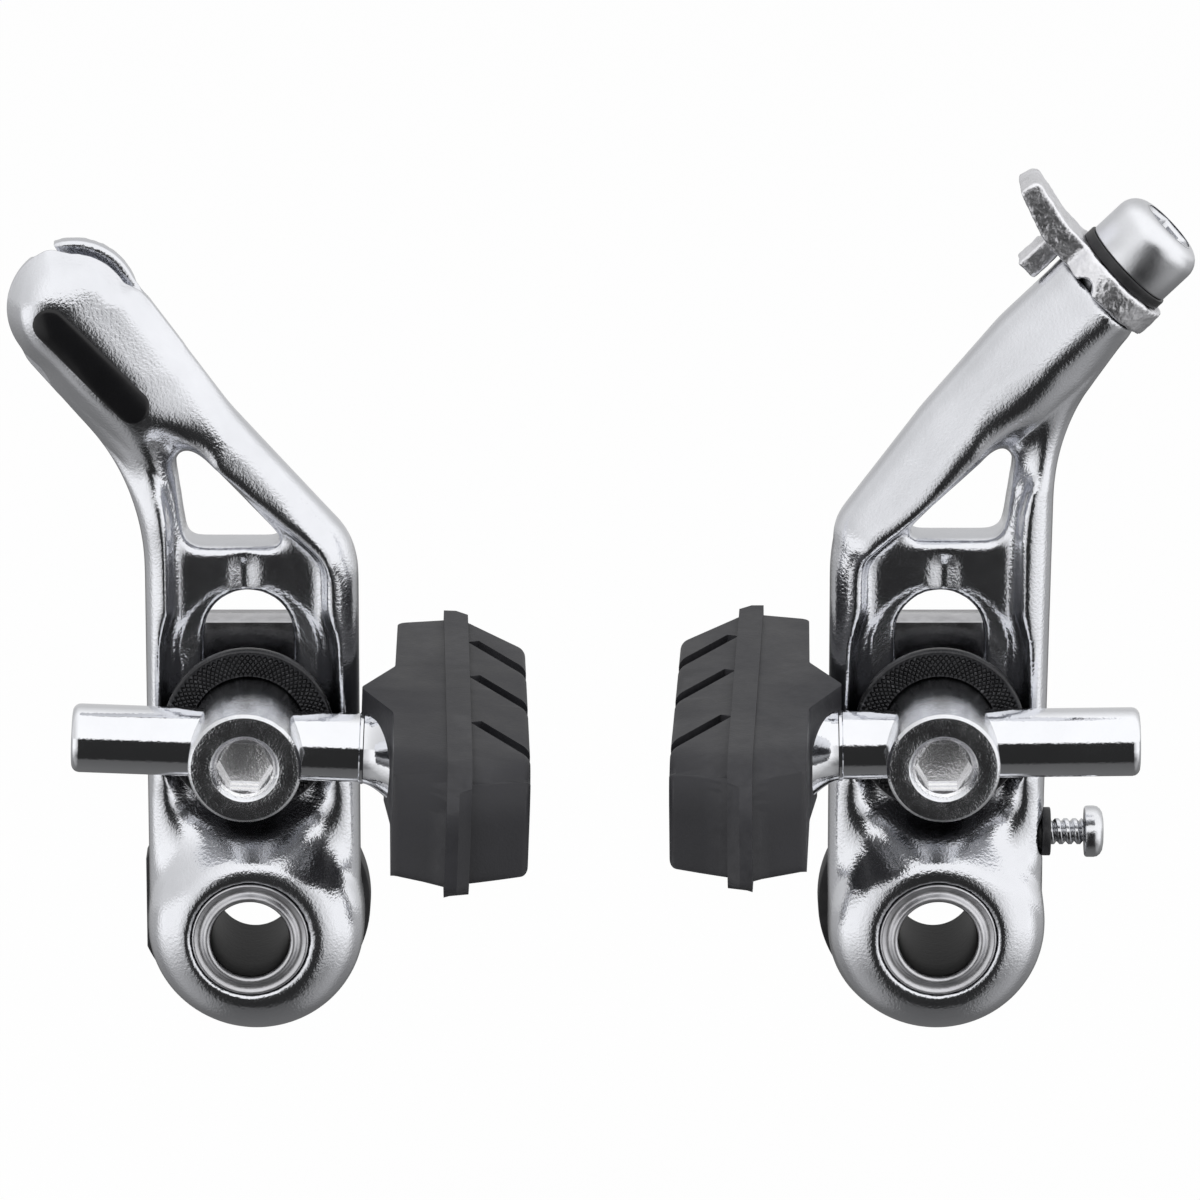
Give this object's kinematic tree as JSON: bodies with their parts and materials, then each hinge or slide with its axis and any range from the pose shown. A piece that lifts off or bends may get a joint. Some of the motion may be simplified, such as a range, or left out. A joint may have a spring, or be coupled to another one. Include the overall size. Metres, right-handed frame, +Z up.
{
  "type": "cantilever rim brake",
  "caption": "Cantilever rim brake: two forged arms with pad posts, moulded pads, pivot sleeves, return springs, a cable seat on one arm and a cable clamp on the other.",
  "frame": {"origin": "left pivot axis at the rear end of its sleeve", "axes": "+X to the right across both arms, +Y to the rear along the pivots, towards the wheel's fork or stays, +Z up the arms"},
  "size_m": [0.1204, 0.0536, 0.0914],
  "materials": {
    "arm": "polished",
    "sleeve": "satin",
    "spring": "satin",
    "cover": "matte",
    "washer": "knurled front",
    "plate": "satin",
    "bolt": "satin",
    "post": "polished",
    "pad": "satin",
    "badge": "gloss",
    "forging": "rough forged",
    "black_steel": "satin",
    "bush": "matte"
  },
  "bodies": {
    "frame_side": {"left_pivot_sleeve": "sleeve", "right_pivot_sleeve": "sleeve", "left_return_spring": "spring", "right_return_spring": "spring", "left_spring_cover": "cover", "right_spring_cover": "cover"},
    "left_arm": {"left_arm": "arm", "left_badge": "badge"},
    "right_arm": {"right_arm": "arm", "cable_clamp_plate": "forging", "cable_clamp_washer": "black_steel", "cable_clamp_bolt": "bolt", "tension_bush": "bush"},
    "left_clamp": {"left_knurled_washer": "washer", "left_rear_plate": "plate", "left_clamp_nut": "bolt"},
    "right_clamp": {"right_knurled_washer": "washer", "right_rear_plate": "plate", "right_clamp_nut": "bolt"},
    "left_eye": {"left_eye_bolt": "bolt"},
    "right_eye": {"right_eye_bolt": "bolt"},
    "left_pad": {"left_pad_post": "post", "left_brake_pad": "pad"},
    "right_pad": {"right_pad_post": "post", "right_brake_pad": "pad"},
    "screw": {"tension_screw": "bolt"}
  },
  "joints": [
    {"name": "left_arm_pivot", "type": "hinge", "parent": "frame_side", "child": "left_arm", "pos_m": [0, 0, 0], "axis": [0, 1, 0], "range_deg": [-25, 6], "stiffness_Nm_per_rad": 0.4, "deforming": ["left_return_spring"]},
    {"name": "right_arm_pivot", "type": "hinge", "parent": "frame_side", "child": "right_arm", "pos_m": [0.0706, 0, 0], "axis": [0, -1, 0], "range_deg": [-25, 6], "stiffness_Nm_per_rad": 0.4, "deforming": ["right_return_spring"]},
    {"name": "left_clamp_slide", "type": "slide", "parent": "left_arm", "child": "left_clamp", "axis": [0, 0, 1], "range_m": [-0.0008, 0.0075]},
    {"name": "right_clamp_slide", "type": "slide", "parent": "right_arm", "child": "right_clamp", "axis": [0, 0, 1], "range_m": [-0.0008, 0.0075]},
    {"name": "left_eye_turn", "type": "hinge", "parent": "left_clamp", "child": "left_eye", "pos_m": [0, 0, 0.0218], "axis": [0, 1, 0], "range_deg": [-8, 8]},
    {"name": "right_eye_turn", "type": "hinge", "parent": "right_clamp", "child": "right_eye", "pos_m": [0.0706, 0, 0.0218], "axis": [0, -1, 0], "range_deg": [-8, 8]},
    {"name": "left_post_slide", "type": "slide", "parent": "left_eye", "child": "left_pad", "axis": [0.9993, 0, -0.0384], "range_m": [-0.0005, 0.0025]},
    {"name": "right_post_slide", "type": "slide", "parent": "right_eye", "child": "right_pad", "axis": [-0.9999, 0, -0.0122], "range_m": [-0.0005, 0.0025]},
    {"name": "tension_screw_slide", "type": "slide", "parent": "right_arm", "child": "screw", "axis": [1, 0, 0], "range_m": [-0.0015, 0.001], "deforming": ["right_return_spring"]}
  ]
}
